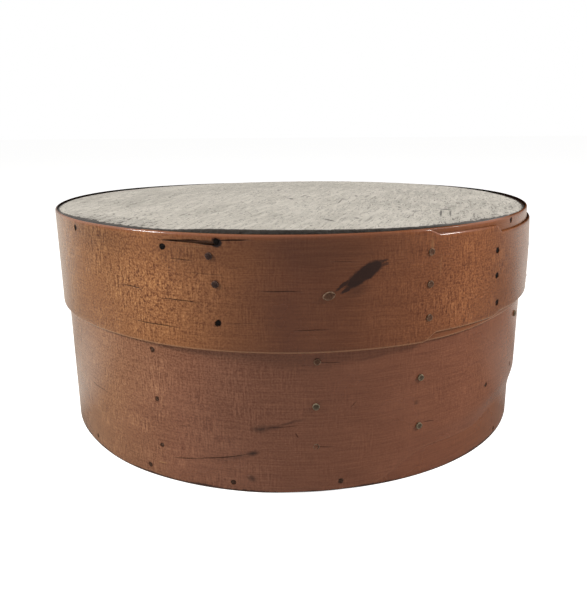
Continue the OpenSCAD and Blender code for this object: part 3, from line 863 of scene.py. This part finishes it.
# Tones round the lid's rim, partly painted light: a lit golden patch left of the front, a darker
# front, and a greyer left edge as painted sheen.
rim_tones_and_painted_light = [
    (0, "#7A4C34"), (0.3, "#765437"), (0.43, "#945F3A"), (0.5, "#70432E"), (0.6, "#88502F"),
    (0.65, "#714124"), (0.75, "#704328"), (1, "#7A4C34")]
for angle, height in lid_nails + sunk_spots:
    rim_marks["stains_and_shade"].append((math.radians(angle) * lid_band["lap"], height, 1.7, 1.5, 0, 0.6))
rim_wear = 0.8
rim.data.materials.append(varnished_maple("varnished_maple_lid", rim_tones_and_painted_light, rim_marks, rim_wear))
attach(rim, "lid")
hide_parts("lid_band")


# Lid board
# A round pine board let into the lid's rim and nailed through it. It has cupped across its grain,
# its back has been planed down to the rim, and thumbs have worn it left of the front, between two
# angles and near its edge. Weather has silvered its bare top and blackened its edge.
crown = 3.1
crown_turn = 81
flatter_side = 0.85
grain = 75
ripple_high = 0.07
top_radius, top_low, top_thick = 125.8, 103.5, 7.7
top_planed = 1.45 * planed
thumb_from, thumb_in = 13, 12
thumb_to, thumb_out = 26, 34
thumb_near, thumb_reach = 95, 30
board = round_board("lid_top", top_radius, top_low, top_thick, 60, board_worn)
across = Matrix.Rotation(math.radians(-crown_turn), 2)
for vertex in board.data.vertices:
    if vertex.co.z > (top_low + top_thick / 2) * MM:
        along, side_way = across @ vertex.co.xy / MM
        cupped = (side_way / top_radius) ** 2 * (flatter_side if side_way > 0 else 1)
        vertex.co.z += crown * (1 - cupped) * MM
        ripple = math.sin(side_way * 0.83 + 1.5 * math.sin(along * 0.045))
        vertex.co.z += ripple_high * ripple * math.sin(side_way * 0.31) * MM
        vertex.co.z -= top_planed * max(0, vertex.co.y / MM / top_radius) ** 2 * MM
        left_turn = math.degrees(math.atan2(-vertex.co.x, -vertex.co.y))
        thumbed = wave((left_turn - thumb_from) / thumb_in)
        thumbed *= 1 - wave((left_turn - thumb_to) / thumb_out)
        vertex.co.z -= thumbed * wave((vertex.co.xy.length / MM - thumb_near) / thumb_reach) * MM
bpy.ops.object.shade_smooth_by_angle(angle=smooth_angle)
dents = [
    (0, -21.5, 1.7, 2.6, 0, 1), (7, -8.5, 7, 0.7, 67, 0.9), (9.5, -12.7, 1.9, 1.6, 10, 0.9),
    (36.2, -8.4, 1.1, 2.6, 0, 1), (27.6, -23, 1.7, 2, 0, 0.9), (25.3, -34, 12, 0.6, 79, 0.7),
    (16, -99, 6, 1, -58, 1), (28.5, -93, 1.6, 2, 0, 0.9), (-4.3, -84, 1.2, 2, 0, 0.6),
    (58, -68, 2.4, 1.5, 0, 0.9), (-7.7, 25, 1.3, 3, 0, 0.7), (22.5, 33, 1.7, 2, 0, 0.6),
    (-68.5, -2.8, 1.1, 2.6, 0, 0.9), (69.3, -72.7, 15, 0.7, 77, 0.85),
    (73.6, -72.9, 15, 0.6, 77, 0.75), (74.5, -59.2, 3.6, 2, 0, 0.9)]
# Soiled places: the two on the right are partly painted shade, darkening the board toward its right
# side; the others are dirt.
soiled_and_shaded = [
    (95, -55, 75, 75, 0, 0.22), (84, -90, 62, 13, 43, 0.7), (-120, -20, 40, 50, 0, 0.12),
    (-80, -88, 42, 11, -40, 0.75), (-40, 25, 40, 40, 0, 0.2)]
board.data.materials.append(weathered_pine(
    "weathered_pine_top", grain,
    [(0.2, "#A09A8F"), (0.5, "#C1BAAE"), (0.8, "#CFC8BC")], top_radius, dents, soiled_and_shaded))
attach(board, "lid")
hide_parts("lid_board")


# Lid board nails
# The same square cut nails, driven through the lid's rim into the edge of the lid board. They are
# iron, black with age, and lie sunk in pits.
black_iron = aged_iron(
    "blackened_iron", [(0.3, "#0C0A09"), (0.5, "#151110"), (0.7, "#241C18")], "#241C18", 0, 0.7)
lid_nail = sunk_nail(2.1, nail_bite, black_iron)
nail_places = []
for angle, height in lid_nails:
    turn = nail_turn(angle, lid_single_from)
    radius = inner_face(lid_band, turn, height - lid_band["low"]) + layer(lid_band, turn)
    roll = chance.uniform(-head_roll, head_roll)
    nail_places.append((lid_nail, angle, radius - head_sink, height, roll))
nails = drive("lid_top_nails", nail_places)
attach(nails, "lid")
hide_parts("lid_board_nails")


# Tacks of the lid's lap
# The same soft iron tacks as on the box, most of them under the lid's varnish, but with their
# points filed off inside, so that the lid slides.
varnished_iron = aged_iron(
    "varnished_iron", [(0.3, "#2E2220"), (0.5, "#3E2F2B"), (0.7, "#523F38")], "#6A544A", 0.1, 0.45)
lid_round_tack = hammered_tack(3.0, 0.45, 0.1, lap_deep, False, dull_iron)
lid_dull_tack = hammered_tack(3.0, 0.6, -0.1, lap_deep, False, varnished_iron)
lid_sunk_tack = sunk_nail(2.1, tack_bite, black_iron)
rubbed_row = 2
dented_row, dented_press = 4, 0.6
for number, tacks in enumerate(lid_tacks, 1):
    places = []
    for angle, height, head in tacks:
        turn = angle + 360
        radius = inner_face(lid_band, turn, height - lid_band["low"]) + lid_band["thick"]
        if head == "round":
            pattern = lid_round_tack if number == rubbed_row else lid_dull_tack
            pressed_in = dented_press if number == dented_row else 0
            places.append((pattern, angle, radius - pressed_in, height, chance.uniform(0, 360)))
        else:
            roll = chance.uniform(-head_roll, head_roll)
            places.append((lid_sunk_tack, angle, radius - head_sink, height, roll))
    tacks = drive("lid_tacks_%d" % number, places)
    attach(tacks, "lid")
    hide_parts("lid_lap_tacks_%d" % number)


# Clout
# One larger nail of soft iron with a long flattened head, put in later between two rows of tacks.
# Its point is filed off inside too.
clout = hammered_tack(3.4, 0.6, 0.1, lap_deep, False, dull_iron)
clout_turn, clout_height, clout_roll = 6.6, 88.4, 14
clout_long = 1.5
radius = lid_band["inner"] + climb(lid_band, clout_turn + 360) + lid_band["thick"]
for vertex in clout.data.vertices:
    if vertex.co.z > -0.01 * MM:
        vertex.co.x *= clout_long
clout_head = drive("lid_clout_nail", [(clout, clout_turn, radius, clout_height, clout_roll)])
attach(clout_head, "lid")
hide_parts("lid_clout")
for pattern in (nail, round_tack, dull_tack, sunk_tack, sunk_point, lid_nail, lid_round_tack,
                lid_dull_tack, lid_sunk_tack, clout):
    bpy.data.objects.remove(pattern)


# Studio
# A plain white floor that keeps the box's shadow, a white surround, soft lamps from both sides and
# above, and a camera at the height and distance of the photograph.
bpy.ops.object.select_all(action="DESELECT")
bpy.ops.mesh.primitive_plane_add(size=12, location=(0, 0, 0))
floor = bpy.context.object
floor.name = "studio_floor"
white = bare_finish("white_paper_with_painted_glare")
seen = put(white, "LightPath")
# The floor glows only for rays reflected off the box, a painted reflection of glare that comes from
# behind the box and from close beside it.
place = put(white, "TexCoord").outputs["Object"]
round_it = put(white, "TexGradient", {"Vector": place}, gradient_type="RADIAL").outputs["Fac"]
left_side = put(white, "MapRange", {
    "Value": round_it, "From Min": 0.972, "From Max": 0.915, "To Min": 0.3})
right_side = put(white, "MapRange", {
    "Value": round_it, "From Min": 0.53, "From Max": 0.59, "To Min": 0.25})
behind = put(white, "Math", {0: left_side, 1: right_side}, operation="MINIMUM")
far = put(white, "VectorMath", {0: place}, operation="LENGTH").outputs["Value"]
close = put(white, "MapRange", {
    "Value": far, "From Min": 0.25, "From Max": 0.45, "To Min": 0.55, "To Max": 0})
facing = put(white, "VectorMath", {0: place}, operation="NORMALIZE")
sideways = put(white, "SeparateXYZ", {0: facing}).outputs["X"]
leftward = put(white, "MapRange", {
    "Value": sideways, "From Min": -0.9, "From Max": -0.99, "To Max": 1.4})
rightward = put(white, "MapRange", {
    "Value": sideways, "From Min": 0.9, "From Max": 0.99, "To Max": 0.9})
facing = put(white, "Math", {0: leftward, 1: rightward}, operation="MAXIMUM")
beside = put(white, "Math", {0: close, 1: facing}, operation="MULTIPLY")
behind = put(white, "Math", {0: behind, 1: beside}, operation="MAXIMUM")
mirrored = put(white, "Math", {
    0: seen.outputs["Is Glossy Ray"], 1: seen.outputs["Is Transmission Ray"]}, operation="MAXIMUM")
glow = put(white, "Math", {0: seen.outputs["Is Camera Ray"], 1: 0.88}, operation="MULTIPLY")
paper = put(white, "BsdfDiffuse", {"Color": linear("#E6E4E1")})
lift = put(white, "Emission", {"Color": (1, 1, 1, 1), "Strength": glow})
both = put(white, "AddShader", {0: paper, 1: lift})
glare = put(white, "Emission", {"Color": linear("#FFFAF1"), "Strength": behind})
both = put(white, "MixShader", {0: mirrored, 1: both, 2: glare})
put(white, "OutputMaterial", {"Surface": both})
floor.data.materials.append(white)

world = bpy.data.worlds.new("white_studio")
bpy.context.scene.world = world
world.use_nodes = True
world.node_tree.nodes.clear()
seen = put(world, "LightPath")
shown = put(world, "Math", {
    0: seen.outputs["Is Camera Ray"], 1: seen.outputs["Is Glossy Ray"]}, operation="MAXIMUM")
shown = put(world, "Math", {
    0: shown, 1: seen.outputs["Is Transmission Ray"]}, operation="MAXIMUM")
level = put(world, "MapRange", {"Value": shown, "To Min": 0.13, "To Max": 1})
surround = put(world, "Background", {"Color": (1, 1, 1, 1), "Strength": level})
put(world, "OutputWorld", {"Surface": surround})

lamp_aim = Vector((0, 0, 0.06))
for name, spot, size, watts in (
        ("left_lamp", (-0.83, -0.25, 0.6), 0.26, 8.4),
        ("right_lamp", (0.8, -0.2, 0.6), 0.25, 7),
        ("top_lamp", (0, 0.4, 1.1), 0.9, 0.8)):
    bpy.ops.object.light_add(type="AREA", location=spot)
    lamp = bpy.context.object
    lamp.name = name
    lamp.data.shape = "DISK"
    lamp.data.size = size
    lamp.data.energy = watts
    lamp.rotation_euler = (Vector(spot) - lamp_aim).to_track_quat("Z", "Y").to_euler()

camera_tilt = Matrix.Rotation(math.radians(74.703), 3, "X")
camera_pan = Matrix.Rotation(-0.0072, 3, "Z")
bpy.ops.object.camera_add(location=(0.00086, -0.3755, 0.1547))
camera = bpy.context.object
camera.data.sensor_width = 36
camera.data.lens = 39.33
camera.data.clip_start = 0.01
camera.rotation_euler = (camera_tilt @ camera_pan).to_euler()
bpy.context.scene.camera = camera
bpy.context.scene.view_settings.view_transform = "Standard"
